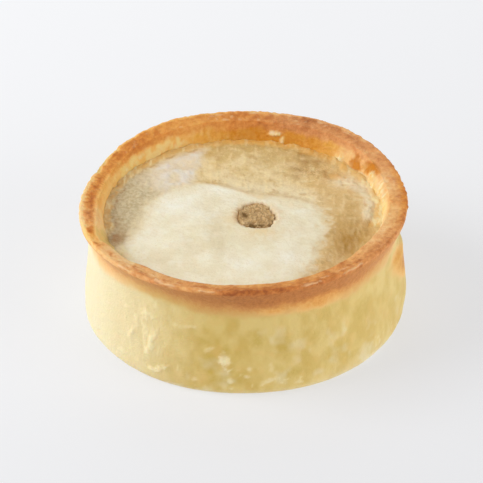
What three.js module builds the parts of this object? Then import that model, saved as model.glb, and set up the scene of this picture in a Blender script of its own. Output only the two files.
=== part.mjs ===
// A scotch pie: a straight-sided round case of hot-water pastry, a pastry lid set down inside its
// rim, and a minced filling that shows at the steam hole in the lid.
//
// Millimetres, +Z up. The origin is the middle of the flat base, on the axis of the hoop that the
// pie was baked in. -Y is the front, +X the right. Angles are in degrees, anticlockwise from +X.
//
// Each solid is a stack of closed rings, one after the other along its surface. A ring's points
// come from a profile that is worked out again at every angle, so the hand-raised case wavers,
// bulges and flakes as the real one does.

import * as THREE from "three";

// ---- Driving dimensions ----

// The case
const RIM_RADIUS = 45.2; // the rim's outer edge, on average
const RIM_HEIGHT = 34.9; // the rim's top, on average
const RIM_THICK = 4.7; // across the rim's top
const RIM_ROUND = 0.9; // the rounding of the rim's outer edge
const RIM_FALL = 0.6; // how far the rim's top slopes down towards the lid
const SHOULDER_DEPTH = 2.2; // how far below the rim's top its rounded inner shoulder ends
const SHOULDER_IN = 0.9; // how far the shoulder reaches inwards of the rim's inner edge
const WAIST_RADIUS = 42.9; // the narrowest part of the wall, under the rim
const WAIST_HEIGHT = 27; // where the rim begins to flare out above the waist
const FLARE_POWER = 1.5; // how late the flare turns outwards
const SWELL = 1.3; // how far the wall stands out of the waist near the foot
const SWELL_HEIGHTS = [5, 22]; // where the swell is full, and where it has faded
const FOOT_INSET = 1.9; // how far the flat base lies inside the foot
const FOOT_ROUND = 2.6; // the height of the rounding at the foot
const FOOT_WAVE_HEIGHTS = [16, 28]; // where the foot's waves are full, and where they have faded
const SEAT_RADIUS = 38.4; // the case's inside where the lid meets it
const CAVITY_RADIUS = 38.7; // the case's inside below the lid
const CAVITY_ROUND = 2; // the rounding between the case's inside and its floor
const FLOOR_THICK = 3.5; // the base of the case

// The lid
const LID_EDGE_HEIGHT = 29.5; // the lid's top where it meets the case
const LID_DOME = 1.1; // how far the lid rises from its edge to its middle
const LID_THICK = 2.6;
const LID_EDGE_THICK = 3.4;
const LIP_DROP = 0.7; // how far the hole's lip is rounded down
const EDGE_DROP = 0.2; // how far the lid's own edge is rounded down
const HOLE_X = 3.9; // the middle of the steam hole
const HOLE_Y = -2.2;
const HOLE_RADIUS = 5.8;

// The filling
const FILLING_SUNK = 1.0; // its top in the hole, below the lid's
const MOUND_FALL = 0.7; // how far its top falls away towards the hole's edge
const CRUMB_HEIGHT = 0.35; // the roughness of the mince
const SHELF_RADIUS = 24; // where its flat top under the lid begins to turn towards the hole

const GAP = 0.3; // between two pieces that lie on each other
const HOLE_GAP = 0.5; // between the filling and the hole's uneven edge

// Waves round a ring: [how many in a turn, size, angle of a crest]
const RIM_RADIUS_WAVES = [[2, 0.47, 45], [3, 0.2, -16], [4, 0.19, 30], [5, 0.19, -11], [6, 0.15, 24]];
const RIM_HEIGHT_WAVES = [[1, 0.55, 64], [2, 0.27, 82], [3, 0.34, -42], [4, 0.2, 20], [5, 0.45, -23]];
const RIM_THICK_WAVES = [[2, 0.3, 0], [3, 0.3, 95], [7, 0.2, 20]];
const RIM_FLAKE_WAVES = [[29, 0.1, 2], [47, 0.1, 0]];
const FOOT_WAVES = [[1, 0.35, 270], [2, 0.2, 150], [3, 0.25, 100], [7, 0.12, 40]];
const HOLE_WAVES = [[2, 0.45, 100], [3, 0.3, 340], [5, 0.15, 10]];

// Points across the rim's top: share of the way in from its outer edge, and share of its fall
const RIM_TOP = [[0.12, 0], [0.27, 0.15], [0.55, 0.4]];

// Ripples of the hand-pressed wall: how many in a turn, turn for each millimetre up, start, size
const WALL_RIPPLES = [[13, 0.35, 0, 0.14], [-21, 0.5, 1, 0.12], [34, 0.2, 2, 0.1]];

// The blister on the right of the wall, whose top edge is a sudden step
const BLISTER = { angle: 354, wide: 15, out: 1.2, bottom: -1, full: 10, top: 22.8, step: 1.2 };

// Bulges of the outer wall: angle and height of the middle, width and height, how far it stands out
const WALL_BULGES = [
  { angle: 236, z: 13, wide: 3, tall: 8, out: 0.45 }, // floury streaks, front left
  { angle: 227, z: 12, wide: 2.2, tall: 4, out: 0.35 },
  { angle: 241, z: 6, wide: 2.5, tall: 3, out: 0.4 },
  { angle: 264, z: 10, wide: 1.8, tall: 2.4, out: 0.5 }, // lumps, bottom front
  { angle: 267, z: 6, wide: 1.5, tall: 2, out: 0.4 },
  { angle: 273, z: 7, wide: 2, tall: 2, out: 0.35 },
  { angle: 145, z: 12, wide: 9, tall: 7, out: 0.5 }, // broad swells round the back
  { angle: 75, z: 10, wide: 12, tall: 8, out: 0.6 },
];

// Flakes lifted from the rim's outer edge: angle, half length along the rim, and height
const RIM_FLAKES = [
  { angle: 226, long: 4, up: 0.45 },
  { angle: 244, long: 5, up: 0.4 },
  { angle: 257, long: 6, up: 0.45 },
  { angle: 293, long: 5, up: 0.35 },
  { angle: 311, long: 7, up: 0.4 },
  { angle: 150, long: 5, up: 0.3 },
  { angle: 52, long: 4, up: 0.3 },
];

// Torn pastry inside the rim: angle, height, half width, half height, and how far it stands in
const TORN_FLAKES = [
  { angle: 75, z: 32.2, wide: 3.4, tall: 1.5, out: 0.9 },
  { angle: 46, z: 31.2, wide: 4.2, tall: 1.9, out: 1.7 },
  { angle: 28, z: 31.6, wide: 4.6, tall: 1.6, out: 1.5 },
  { angle: 17, z: 30.6, wide: 4.0, tall: 1.2, out: 2.2 },
  { angle: 7, z: 31.2, wide: 4.4, tall: 1.6, out: 1.9 },
  { angle: 356, z: 31.4, wide: 4.0, tall: 1.6, out: 1.3 },
  { angle: 345, z: 31.3, wide: 4.6, tall: 1.4, out: 1.2 },
  { angle: 118, z: 31.2, wide: 4.5, tall: 1.4, out: 0.8 },
  { angle: 148, z: 31.0, wide: 5.5, tall: 1.2, out: 0.7 },
];
const FLAKE_CLEARANCE = [0.4, 1.4]; // heights above the lid's edge between which the flakes set in

// Relief of the lid's top: middle, half lengths along the turned axes, turn, and height
const LID_RELIEF = [
  { x: -4, y: -11, long: 27, across: 15, turn: -18, up: 0.7 }, // the floury dome
  { x: 15, y: 25, long: 12, across: 5, turn: -15, up: -0.6 }, // dips against the wall
  { x: 30, y: -15, long: 11, across: 5.5, turn: 70, up: -0.7 },
  { x: -33, y: -13, long: 8, across: 4, turn: 100, up: -0.6 },
  { x: 20, y: 24, long: 4, across: 2.4, turn: 20, up: -0.5 },
  { x: 25, y: 18.5, long: 3.5, across: 2, turn: -30, up: -0.5 },
  { x: 30, y: 13, long: 4.5, across: 3, turn: 60, up: 0.6 },
  { x: -15, y: 24, long: 5, across: 7, turn: 10, up: 0.4 },
];
const LID_EDGE_CALM = 5; // how far from the lid's edge the relief is full
const LID_GRAIN = 0.1; // the size of the lid's fine unevenness

// The crease that bounds the dome behind: points from left to right, and the step down behind it
const CREASE = [[-23, 7], [-16, 12.4], [-9, 13.4], [-4, 12.4], [1, 9.2], [5, 7.2], [9.5, 5.2], [14, 2.7], [21, 1.7]];
const CREASE_DROP = 0.8;
const CREASE_WIDTH = 2.2;
const CREASE_FADE = [6, 18]; // how far behind the crease the lower ground begins and ends its rise
const CREASE_ENDS = [[-24, -12], [17, 23]]; // where the step sets in on the left and ends on the right

// Numbers of points round and along the surfaces
const CASE_STEPS = 132;
const LID_STEPS = 88;
const FILLING_STEPS = 48;
const FOOT_RINGS = 3;
const WALL_RINGS = 14;
const INSIDE_RINGS = 6;
const LID_TOP_RINGS = 11;

// ---- Helpers ----

const rad = THREE.MathUtils.degToRad;
const smooth = THREE.MathUtils.smoothstep;

// The sum of a list of waves at an angle in radians.
const waves = (list, turn) =>
  list.reduce((sum, [count, size, crest]) => sum + size * Math.cos(count * (turn - rad(crest))), 0);

// A round hump: 1 in the middle, 0.1 at a distance of 1, and soft all round.
const hump = (across, along) => Math.exp(-2.3 * (across * across + along * along));

// The distance along a circle from one direction to another, for a turn in radians.
function arcFrom(turn, degrees, radius) {
  const apart = THREE.MathUtils.euclideanModulo(turn - rad(degrees) + Math.PI, 2 * Math.PI) - Math.PI;
  return apart * radius;
}

// What a list of humps on a round wall adds at an angle and a height.
const humpsOnWall = (list, turn, z, radius) =>
  list.reduce((sum, { angle, z: middle, wide, tall, out }) => {
    return sum + out * hump(arcFrom(turn, angle, radius) / wide, (z - middle) / tall);
  }, 0);

// The value at x of a line through points that are listed from left to right.
function alongLine(points, x) {
  const after = points.findIndex(([px]) => px >= x);
  if (after === 0) return points[0][1];
  if (after < 0) return points[points.length - 1][1];
  const [x0, y0] = points[after - 1];
  const [x1, y1] = points[after];
  return THREE.MathUtils.mapLinear(x, x0, x1, y0, y1);
}

const range = (from, to, steps) =>
  Array.from({ length: steps + 1 }, (_, i) => from + ((to - from) * i) / steps);

const turnsOf = (steps) => range(0, 2 * Math.PI, steps).slice(0, -1);

// Closed rings of points, joined one to the next and closed at both ends by a fan.
// With loop true, the last ring joins the first instead, as round a hole.
function solidOfRings(rings, loop) {
  const count = rings[0].length;
  const position = rings.flat().flatMap((p) => p.toArray());
  const index = [];
  const joins = loop ? rings.length : rings.length - 1;
  for (let k = 0; k < joins; k++) {
    const here = k * count;
    const next = ((k + 1) % rings.length) * count;
    for (let i = 0; i < count; i++) {
      const j = (i + 1) % count;
      index.push(here + i, here + j, next + j, here + i, next + j, next + i);
    }
  }
  if (!loop) {
    for (const k of [0, rings.length - 1]) {
      const middle = rings[k].reduce((sum, p) => sum.add(p), new THREE.Vector3()).divideScalar(count);
      const centre = position.length / 3;
      position.push(...middle.toArray());
      for (let i = 0; i < count; i++) {
        const j = (i + 1) % count;
        if (k === 0) index.push(centre, k * count + j, k * count + i);
        else index.push(centre, k * count + i, k * count + j);
      }
    }
  }
  const geometry = new THREE.BufferGeometry();
  geometry.setAttribute("position", new THREE.Float32BufferAttribute(position, 3));
  geometry.setIndex(index);
  geometry.computeVertexNormals();
  return geometry;
}

// ---- The case ----

const rimRadius = (turn) => RIM_RADIUS + waves(RIM_RADIUS_WAVES, turn);
const rimHeight = (turn) => RIM_HEIGHT + waves(RIM_HEIGHT_WAVES, turn);
const rimInnerEdge = (turn) => rimRadius(turn) - RIM_THICK - waves(RIM_THICK_WAVES, turn);

const ripples = (turn, z) =>
  WALL_RIPPLES.reduce((sum, [count, rise, start, size]) => sum + size * Math.sin(count * turn + z * rise + start), 0);

function blister(turn, z) {
  const { angle, wide, out, bottom, full, top, step } = BLISTER;
  const across = hump(arcFrom(turn, angle, WAIST_RADIUS) / wide, 0);
  return out * across * smooth(z, bottom, full) * (1 - smooth(z, top - step, top));
}

// The outer wall: swollen near the foot, waisted under the rim, and flared to the rim's edge.
function wallRadius(turn, z) {
  const swell = SWELL * (1 - smooth(z, ...SWELL_HEIGHTS));
  const flare = smooth(z, WAIST_HEIGHT, RIM_HEIGHT - RIM_ROUND) ** FLARE_POWER;
  const foot = waves(FOOT_WAVES, turn) * (1 - smooth(z, ...FOOT_WAVE_HEIGHTS));
  const inset = Math.max(0, 1 - z / FOOT_ROUND);
  const rounding = FOOT_INSET * (1 - Math.sqrt(1 - inset * inset));
  const bulges = humpsOnWall(WALL_BULGES, turn, z, WAIST_RADIUS) + blister(turn, z);
  const relief = (bulges + ripples(turn, z)) * smooth(z, 0, FOOT_ROUND);
  return WAIST_RADIUS + swell + (rimRadius(turn) - WAIST_RADIUS) * flare + foot - rounding + relief;
}

// The wall inside the rim: a rounded shoulder, then a steep side down to the lid, with torn flakes.
function innerRadius(turn, z) {
  const edge = rimInnerEdge(turn);
  const shoulderEnd = rimHeight(turn) - SHOULDER_DEPTH;
  const shoulder = SHOULDER_IN * (1 - smooth(z, shoulderEnd - 0.5, rimHeight(turn) - RIM_FALL + 0.5));
  const below = Math.max(0, 1 - (z - LID_EDGE_HEIGHT) / (shoulderEnd - LID_EDGE_HEIGHT));
  const side = (edge - SHOULDER_IN - SEAT_RADIUS) * below;
  const [clear, full] = FLAKE_CLEARANCE;
  const setIn = smooth(z, LID_EDGE_HEIGHT + clear, LID_EDGE_HEIGHT + full);
  return edge - shoulder - side - humpsOnWall(TORN_FLAKES, turn, z, SEAT_RADIUS) * setIn;
}

// How far the rim's flakes lift its outer edge.
const liftOfFlakes = (turn) =>
  RIM_FLAKES.reduce((sum, { angle, long, up }) => sum + up * hump(arcFrom(turn, angle, RIM_RADIUS) / long, 0), 0);

// The case's section at an angle, as [radius, height] pairs from the base, over the rim and down.
function caseProfile(turn) {
  const top = rimHeight(turn);
  const foot = range(0, FOOT_ROUND, FOOT_RINGS).map((z) => [wallRadius(turn, z), z]);
  const wall = range(FOOT_ROUND, top - RIM_ROUND, WALL_RINGS).slice(1).map((z) => [wallRadius(turn, z), z]);
  const edge = wallRadius(turn, top - RIM_ROUND);
  const across = edge - innerRadius(turn, top - RIM_FALL);
  const flaky = waves(RIM_FLAKE_WAVES, turn);
  const rim = RIM_TOP.map(([share, fall]) => {
    const lifted = flaky + liftOfFlakes(turn) * (1 - share) ** 4;
    return [edge - share * across, top - fall * RIM_FALL + lifted];
  });
  const lowest = LID_EDGE_HEIGHT + FLAKE_CLEARANCE[0];
  const inside = range(top - RIM_FALL, lowest, INSIDE_RINGS).map((z) => [innerRadius(turn, z), z]);
  const hidden = [
    [SEAT_RADIUS, LID_EDGE_HEIGHT],
    [CAVITY_RADIUS, FLOOR_THICK + CAVITY_ROUND],
    [CAVITY_RADIUS - CAVITY_ROUND, FLOOR_THICK],
  ];
  return [...foot, ...wall, ...rim, ...inside, ...hidden];
}

function caseGeometry() {
  const turns = turnsOf(CASE_STEPS);
  const profiles = turns.map(caseProfile);
  const ring = (k) =>
    turns.map((turn, i) => {
      const [radius, height] = profiles[i][k];
      return new THREE.Vector3(radius * Math.cos(turn), radius * Math.sin(turn), height);
    });
  return solidOfRings(profiles[0].map((_, k) => ring(k)), false);
}

// ---- The lid ----

// The steam hole's uneven outline, as a radius from the hole's middle.
const holeRadius = (turn) => HOLE_RADIUS + waves(HOLE_WAVES, turn);

// The lid's plain dome, before its relief.
const domeHeight = (x, y) => LID_EDGE_HEIGHT + LID_DOME * (1 - (x * x + y * y) / SEAT_RADIUS ** 2);

function reliefHeight({ x: middleX, y: middleY, long, across, turn, up }, x, y) {
  const c = Math.cos(rad(turn));
  const s = Math.sin(rad(turn));
  const along = (x - middleX) * c + (y - middleY) * s;
  const off = (y - middleY) * c - (x - middleX) * s;
  return up * hump(along / long, off / across);
}

// The step down behind the floury dome.
function creaseHeight(x, y) {
  const behind = y - alongLine(CREASE, x);
  const [left, right] = CREASE_ENDS;
  const within = smooth(x, ...left) * (1 - smooth(x, ...right));
  const step = smooth(behind, -0.3 * CREASE_WIDTH, CREASE_WIDTH) * (1 - smooth(behind, ...CREASE_FADE));
  return -CREASE_DROP * within * step;
}

function lidHeight(x, y) {
  const relief = LID_RELIEF.reduce((sum, hill) => sum + reliefHeight(hill, x, y), 0);
  const grain = LID_GRAIN * Math.sin(x * 0.9 + y * 0.4) * Math.sin(y * 0.8 - x * 0.3);
  const calm = smooth(SEAT_RADIUS - Math.hypot(x, y), 0, LID_EDGE_CALM);
  return domeHeight(x, y) + (relief + creaseHeight(x, y) + grain) * calm;
}

// A point between the hole's edge (share 0) and the lid's edge (share 1).
function lidPoint(turn, share) {
  const hole = holeRadius(turn);
  const edge = SEAT_RADIUS - GAP;
  const x = THREE.MathUtils.lerp(HOLE_X + hole * Math.cos(turn), edge * Math.cos(turn), share);
  const y = THREE.MathUtils.lerp(HOLE_Y + hole * Math.sin(turn), edge * Math.sin(turn), share);
  return [x, y];
}

function lidGeometry() {
  const turns = turnsOf(LID_STEPS);
  const ring = (share, heightAt) =>
    turns.map((turn) => {
      const [x, y] = lidPoint(turn, share);
      return new THREE.Vector3(x, y, heightAt(x, y));
    });
  const underside = (x, y) => {
    const share = smooth(Math.hypot(x, y), SEAT_RADIUS - 8, SEAT_RADIUS);
    return domeHeight(x, y) - THREE.MathUtils.lerp(LID_THICK, LID_EDGE_THICK, share);
  };
  const bottom = [0, 0.3, 0.72, 1].map((share) => ring(share, underside));
  const edge = ring(1, (x, y) => lidHeight(x, y) - EDGE_DROP);
  const top = range(0.985, 0.05, LID_TOP_RINGS).map((share) => ring(share, lidHeight));
  const lip = [
    ring(0.015, (x, y) => lidHeight(x, y) - 0.2 * LIP_DROP),
    ring(0, (x, y) => lidHeight(x, y) - LIP_DROP),
  ];
  return solidOfRings([...bottom, edge, ...top, ...lip], true);
}

// ---- The filling ----

// The filling fills the case up to the lid, with a rough mound of mince in the steam hole.
function fillingGeometry() {
  const turns = turnsOf(FILLING_STEPS);
  const ring = (x, y, radiusAt, heightAt) =>
    turns.map((turn) => {
      const px = x + radiusAt(turn) * Math.cos(turn);
      const py = y + radiusAt(turn) * Math.sin(turn);
      return new THREE.Vector3(px, py, heightAt(px, py));
    });
  const wall = CAVITY_RADIUS - GAP;
  const floor = FLOOR_THICK + GAP;
  const underLid = (x, y) => domeHeight(x, y) - LID_EDGE_THICK - GAP;
  const body = [
    ring(0, 0, () => wall - CAVITY_ROUND, () => floor),
    ring(0, 0, () => wall, () => floor + CAVITY_ROUND),
    ring(0, 0, () => wall, underLid),
    ring(0, 0, () => SHELF_RADIUS, underLid),
  ];
  const top = lidHeight(HOLE_X, HOLE_Y) - FILLING_SUNK;
  const crumbs = (x, y) => CRUMB_HEIGHT * Math.sin(x * 3.1 + y) * Math.sin(y * 2.7 - x * 1.3);
  const edgeInHole = (share) => (turn) => (holeRadius(turn) - HOLE_GAP) * share;
  const neck = ring(HOLE_X, HOLE_Y, edgeInHole(1), underLid);
  const mound = [1, 0.86, 0.7, 0.54, 0.38, 0.22, 0.1].map((share) =>
    ring(HOLE_X, HOLE_Y, edgeInHole(share), (x, y) => top - MOUND_FALL * share ** 4 + crumbs(x, y)),
  );
  return solidOfRings([...body, neck, ...mound], false);
}

// ---- The pie ----

function piece(name, geometry, color, roughness) {
  const material = new THREE.MeshStandardMaterial({ color, roughness, metalness: 0 });
  const mesh = new THREE.Mesh(geometry, material);
  mesh.name = name;
  return mesh;
}

const pie = new THREE.Group();
pie.add(piece("pastry_case", caseGeometry(), "#dcb677", 0.6));
pie.add(piece("pastry_lid", lidGeometry(), "#e6dabb", 0.8));
pie.add(piece("mince_filling", fillingGeometry(), "#a98c66", 0.7));

export default pie;
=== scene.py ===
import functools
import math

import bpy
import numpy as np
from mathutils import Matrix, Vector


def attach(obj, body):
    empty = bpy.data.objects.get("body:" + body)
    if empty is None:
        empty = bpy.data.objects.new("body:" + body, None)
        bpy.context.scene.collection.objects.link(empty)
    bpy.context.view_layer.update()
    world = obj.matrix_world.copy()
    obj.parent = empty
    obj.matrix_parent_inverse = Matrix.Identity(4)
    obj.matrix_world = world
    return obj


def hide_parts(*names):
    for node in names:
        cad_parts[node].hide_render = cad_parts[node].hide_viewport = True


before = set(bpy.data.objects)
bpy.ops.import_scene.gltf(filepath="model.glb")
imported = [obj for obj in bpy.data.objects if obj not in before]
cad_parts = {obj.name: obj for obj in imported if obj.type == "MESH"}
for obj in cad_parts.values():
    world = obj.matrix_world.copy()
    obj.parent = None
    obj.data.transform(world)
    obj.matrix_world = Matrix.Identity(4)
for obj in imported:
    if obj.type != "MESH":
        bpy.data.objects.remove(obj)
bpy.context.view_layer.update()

# A scotch pie. The case, the lid and the mince are built as fine closed meshes over the forms of
# the frame's nodes, with the flakes, flour, creases and grain that the nodes leave out.
#
# Shapes are worked out in millimetres and scaled to metres at the end. -Y is the front, +X the
# right. A turn is an angle round the pie, anticlockwise from +X: in degrees where it is listed.

MM = 0.001

# ---- Sizes of the case ----

RIM_RADIUS = 45.2
RIM_HEIGHT = 34.9
RIM_THICK = 4.7
RIM_ROUND = 0.9
RIM_FALL = 0.6
FALL_POWER = 1.5
ROUND_SHARE = 0.12      # how much of the rim's width its rounded outer edge takes
SHOULDER_DEPTH = 2.2
SHOULDER_IN = 0.9
SHOULDER_SOFT = 0.5
WAIST_RADIUS = 42.9
WAIST_HEIGHT = 27
FLARE_POWER = 1.5
SWELL = 1.3
SWELL_HEIGHTS = (5, 22)
FOOT_INSET = 1.9
FOOT_ROUND = 2.6
FOOT_WAVE_HEIGHTS = (16, 28)
SEAT_RADIUS = 38.4
SEAT_FOOT = 25          # where the seat ends, below the lid
CAVITY_RADIUS = 38.7
CAVITY_ROUND = 2
FLOOR_THICK = 3.5

LID_EDGE_HEIGHT = 29.5
LID_DOME = 1.1
LID_THICK = 2.6
LID_EDGE_THICK = 3.4
HOLE_X, HOLE_Y = 3.9, -2.2
HOLE_RADIUS = 5.8
FILLING_SUNK = 0.4
GAP = 0.3
HOLE_GAP = 0.06

# Waves round a ring: how many in a turn, size, angle of a crest
RIM_RADIUS_WAVES = ((2, 0.47, 45), (3, 0.2, -16), (4, 0.19, 30), (5, 0.19, -11), (6, 0.15, 24))
RIM_HEIGHT_WAVES = ((1, 0.55, 64), (2, 0.27, 82), (3, 0.34, -42), (4, 0.2, 20), (5, 0.45, -23))
RIM_THICK_WAVES = ((2, 0.3, 0), (3, 0.3, 95), (7, 0.2, 20))
FOOT_WAVES = ((1, 0.35, 270), (2, 0.2, 150), (3, 0.25, 100), (7, 0.12, 40))
HOLE_WAVES = ((2, 0.45, 100), (3, 0.3, 340), (5, 0.15, 10))

# Places round a ring: angle, half length, size. The rim is thinner at some, the hole's edge comes
# in at others, and flakes are lifted from the rim's outer edge.
THIN_RIM = ((206, 8, 2.1), (221, 6, 1.1))
HOLE_DENTS = ((326, 3.6, 1), (26, 5.2, 0.8))
RIM_FLAKES = (
    (226, 4, 0.45), (244, 5, 0.4), (257, 6, 0.45), (293, 5, 0.35), (311, 7, 0.4),
    (150, 5, 0.12), (52, 4, 0.12),
)

# Bulges of the outer wall: angle, height, half width, half height, how far out
WALL_BULGES = (
    (236, 13, 3, 8, 0.3), (227, 12, 2.2, 4, 0.25), (241, 6, 2.5, 3, 0.25), (264, 10, 1.8, 2.4, 0.3),
    (267, 6, 1.5, 2, 0.25), (273, 7, 2, 2, 0.25), (145, 12, 9, 7, 0.5), (75, 10, 12, 8, 0.6),
)
BLISTER = dict(angle=354, wide=15, out=1.2, bottom=-1, full=10, top=22.8, step=1.2)

# Torn pastry inside the rim: angle, height, half width, half height, how far it stands in
TORN_FLAKES = (
    (76, 31.9, 2.6, 1, 0.5), (73, 30.7, 1.5, 1.7, 0.4), (45, 30.6, 1.6, 1.8, 0.4),
    (31, 29.9, 2.2, 0.8, 0.4), (24, 31.9, 1.8, 1.4, 0.5), (20, 30.4, 2.2, 1.5, 0.5),
    (14, 31.4, 2.4, 2, 0.5), (7, 31, 2, 2.2, 0.5), (1, 31.2, 1.8, 2.2, 0.4),
    (354, 31, 2, 1.8, 0.4), (347, 31, 2.4, 1.5, 0.4), (340, 30.8, 2.6, 1, 0.4),
    (333, 30.6, 2, 0.8, 0.3), (118, 30.9, 2.8, 1.2, 0.3), (127, 31.4, 2.6, 1, 0.3),
    (148, 30.7, 3.4, 1, 0.3), (138, 31.6, 2.8, 0.9, 0.3),
)

# Relief of the lid's top: middle x and y, half lengths along the turned axes, turn, height
LID_RELIEF = (
    (-4, -11, 27, 15, -18, 0.7), (15, 25, 12, 5, -15, -0.6), (30, -15, 11, 5.5, 70, -0.7),
    (-33, -13, 8, 4, 100, -0.6), (20, 24, 4, 2.4, 20, -0.5), (25, 18.5, 3.5, 2, -30, -0.5),
    (30, 13, 4.5, 3, 60, 0.6), (-15, 24, 5, 7, 10, 0.4),
)
# The crease behind the floury part, as y at x, and the step down behind it
CREASE = (
    (-26, 6.5), (-21, 11.3), (-16, 14.2), (-12.5, 15.1), (-9, 14.5), (-5, 12.8), (1, 9.3),
    (5, 8.7), (10, 8), (17, 6), (22, 2.5),
)
CREASE_DROP = 0.6
CREASE_WIDTH = 3
CREASE_FADE = (6, 18)
CREASE_ENDS = ((-24, -12), (17, 23))

# Sides of the floury part of the lid, as x at y
FLOUR_LEFT = ((-32, -31), (-18.6, -32.5), (-12, -31), (-7.7, -29.2), (-0.7, -27), (7.3, -26), (12.2, -23))
FLOUR_RIGHT = ((-32.5, 16), (-22.2, 19.6), (-9.4, 22.9), (1.3, 22.2))

# Resolution of the meshes
CASE_COLUMNS = 680
LID_COLUMNS = 640
FILLING_COLUMNS = 200


# ---- Helpers: numbers ----

TINY = 1e-9
HUMP_FALL = 2.3         # leaves a tenth of a hump's height at its half length
CELL_SHIFT = 1000       # keeps the numbers of the noise's cells above zero
OCTAVES = 3
OCTAVE_SEED_STEP = 17

# Large odd numbers that scatter the numbers of neighbouring cells, with shifts between, in 32 bits
HASH_FACTORS = (374761393, 668265263, 2246822519)
HASH_SEED_FACTOR = 3266489917
HASH_ROUNDS = ((13, 1274126177), (15, 2654435761))
HASH_MASK = np.uint64(0xFFFFFFFF)


def smooth(x, low, high):
    t = np.clip((x - low) / (high - low), 0, 1)
    return t * t * (3 - 2 * t)


def fall(x, low, high):
    return 1 - smooth(x, low, high)


def most(*values):
    """The highest of several values, place by place."""
    return functools.reduce(np.maximum, values)


def mix(a, b, share):
    return a * (1 - share) + b * share


def waves(items, turn):
    return sum(size * np.cos(count * (turn - math.radians(crest))) for count, size, crest in items)


def hump(across, along=0):
    return np.exp(-HUMP_FALL * (across * across + along * along))


def arc_from(turn, degrees, radius):
    """How far a turn is round a ring from an angle, in millimetres."""
    apart = np.mod(turn - math.radians(degrees) + math.pi, 2 * math.pi) - math.pi
    return apart * radius


def humps_round(items, turn, radius):
    """Humps round a ring, each an angle, a half length and a size."""
    return sum(size * hump(arc_from(turn, angle, radius) / long) for angle, long, size in items)


def along_line(points, x):
    xs, ys = zip(*points)
    return np.interp(x, xs, ys)


def round_turn(stops, turn):
    """The value at a turn between stops of (angle in degrees, value), which wrap round."""
    angles, values = zip(*stops)
    return np.interp(np.degrees(turn) % 360, angles, values, period=360)


def hashed(cell, seed):
    """A number from 0 to 1 for each whole-numbered cell."""
    c = cell.astype(np.int64).astype(np.uint64)
    h = sum(c[..., k] * np.uint64(factor) for k, factor in enumerate(HASH_FACTORS))
    h = (h + np.uint64(seed * HASH_SEED_FACTOR)) & HASH_MASK
    for shift, factor in HASH_ROUNDS:
        h = ((h ^ (h >> np.uint64(shift))) * np.uint64(factor)) & HASH_MASK
    return (h >> np.uint64(8)).astype(float) / 2 ** 24


def noise(points, size, seed):
    """Smooth noise from -1 to 1 with features of that size."""
    q = points / size + CELL_SHIFT
    cell = np.floor(q)
    t = q - cell
    t = t * t * (3 - 2 * t)
    total = 0
    for corner in np.ndindex(2, 2, 2):
        weight = np.prod(np.where(np.array(corner) == 1, t, 1 - t), axis=-1)
        total = total + weight * hashed(cell + corner, seed)
    return 2 * total - 1


def fbm(points, size, seed):
    """Noise with finer and weaker noise over it."""
    layers = [noise(points, size / 2 ** k, seed + OCTAVE_SEED_STEP * k) * 0.5 ** k for k in range(OCTAVES)]
    return sum(layers) / sum(0.5 ** k for k in range(OCTAVES))


def lumps(points, size, seed):
    """Distance to the nearest of scattered seeds, in units of size: 0 on a seed, about 0.7 between."""
    q = points / size + CELL_SHIFT
    cell = np.floor(q)
    best = np.full(points.shape[:-1], np.inf)
    for step in np.ndindex(3, 3, 3):
        near = cell + np.array(step) - 1
        place = near + np.stack([hashed(near, seed + k) for k in range(3)], axis=-1)
        best = np.minimum(best, np.linalg.norm(q - place, axis=-1))
    return best


# ---- Helpers: meshes ----

def grid_normals(grid):
    """Normals of a grid of points (rings, columns, 3) whose columns close on themselves."""
    along = np.gradient(grid, axis=0)
    around = (np.roll(grid, -1, axis=1) - np.roll(grid, 1, axis=1)) / 2
    normal = np.cross(around, along)
    return normal / (np.linalg.norm(normal, axis=-1, keepdims=True) + TINY)


def ring_faces(rings, columns, loop):
    ring = np.arange(rings if loop else rings - 1)[:, None]
    column = np.arange(columns)[None, :]
    here, there = ring * columns, ((ring + 1) % rings) * columns
    after = (column + 1) % columns
    quads = np.stack([here + column, here + after, there + after, there + column], axis=-1)
    return quads.reshape(-1, 4).tolist()


def add_object(name, data):
    thing = bpy.data.objects.new(name, data)
    bpy.context.scene.collection.objects.link(thing)
    return thing


def add_mask(mesh, key, channels, shape, caps):
    """A colour attribute from up to three channels over the grid, and over the points of its caps."""
    rings, columns = shape
    values = np.zeros((rings, columns, 4))
    values[..., 3] = 1
    for k, channel in enumerate(channels):
        values[..., k] = np.clip(channel, 0, 1)
    values = values.reshape(-1, 4)
    for ring in caps:
        values = np.vstack([values, values[ring * columns]])
    attribute = mesh.attributes.new(key, "FLOAT_COLOR", "POINT")
    attribute.data.foreach_set("color", values.astype(np.float32).ravel())


def make_piece(name, grid, material, masks, loop=False):
    """A closed mesh from rings of points in millimetres, with its masks as colour attributes."""
    rings, columns, _ = grid.shape
    points = grid.reshape(-1, 3)
    faces = ring_faces(rings, columns, loop)
    caps = () if loop else (0, rings - 1)
    for ring in caps:
        centre = len(points)
        points = np.vstack([points, grid[ring].mean(axis=0)])
        fan = [[centre, ring * columns + (i + 1) % columns, ring * columns + i] for i in range(columns)]
        faces += fan if ring == 0 else [face[::-1] for face in fan]
    mesh = bpy.data.meshes.new(name)
    mesh.from_pydata((points * MM).tolist(), [], faces)
    mesh.shade_smooth()
    for key, channels in masks:
        add_mask(mesh, key, channels, (rings, columns), caps)
    mesh.validate()
    mesh.materials.append(material)
    return add_object(name, mesh)


# ---- Helpers: materials ----

NOISE_ROUGHNESS = 0.55
MIX_A, MIX_B, MIX_RESULT = 6, 7, 2  # the colour sockets of a mix node
SCATTER = (1, 0.6, 0.28)            # how far red, green and blue light spread in pastry


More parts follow.
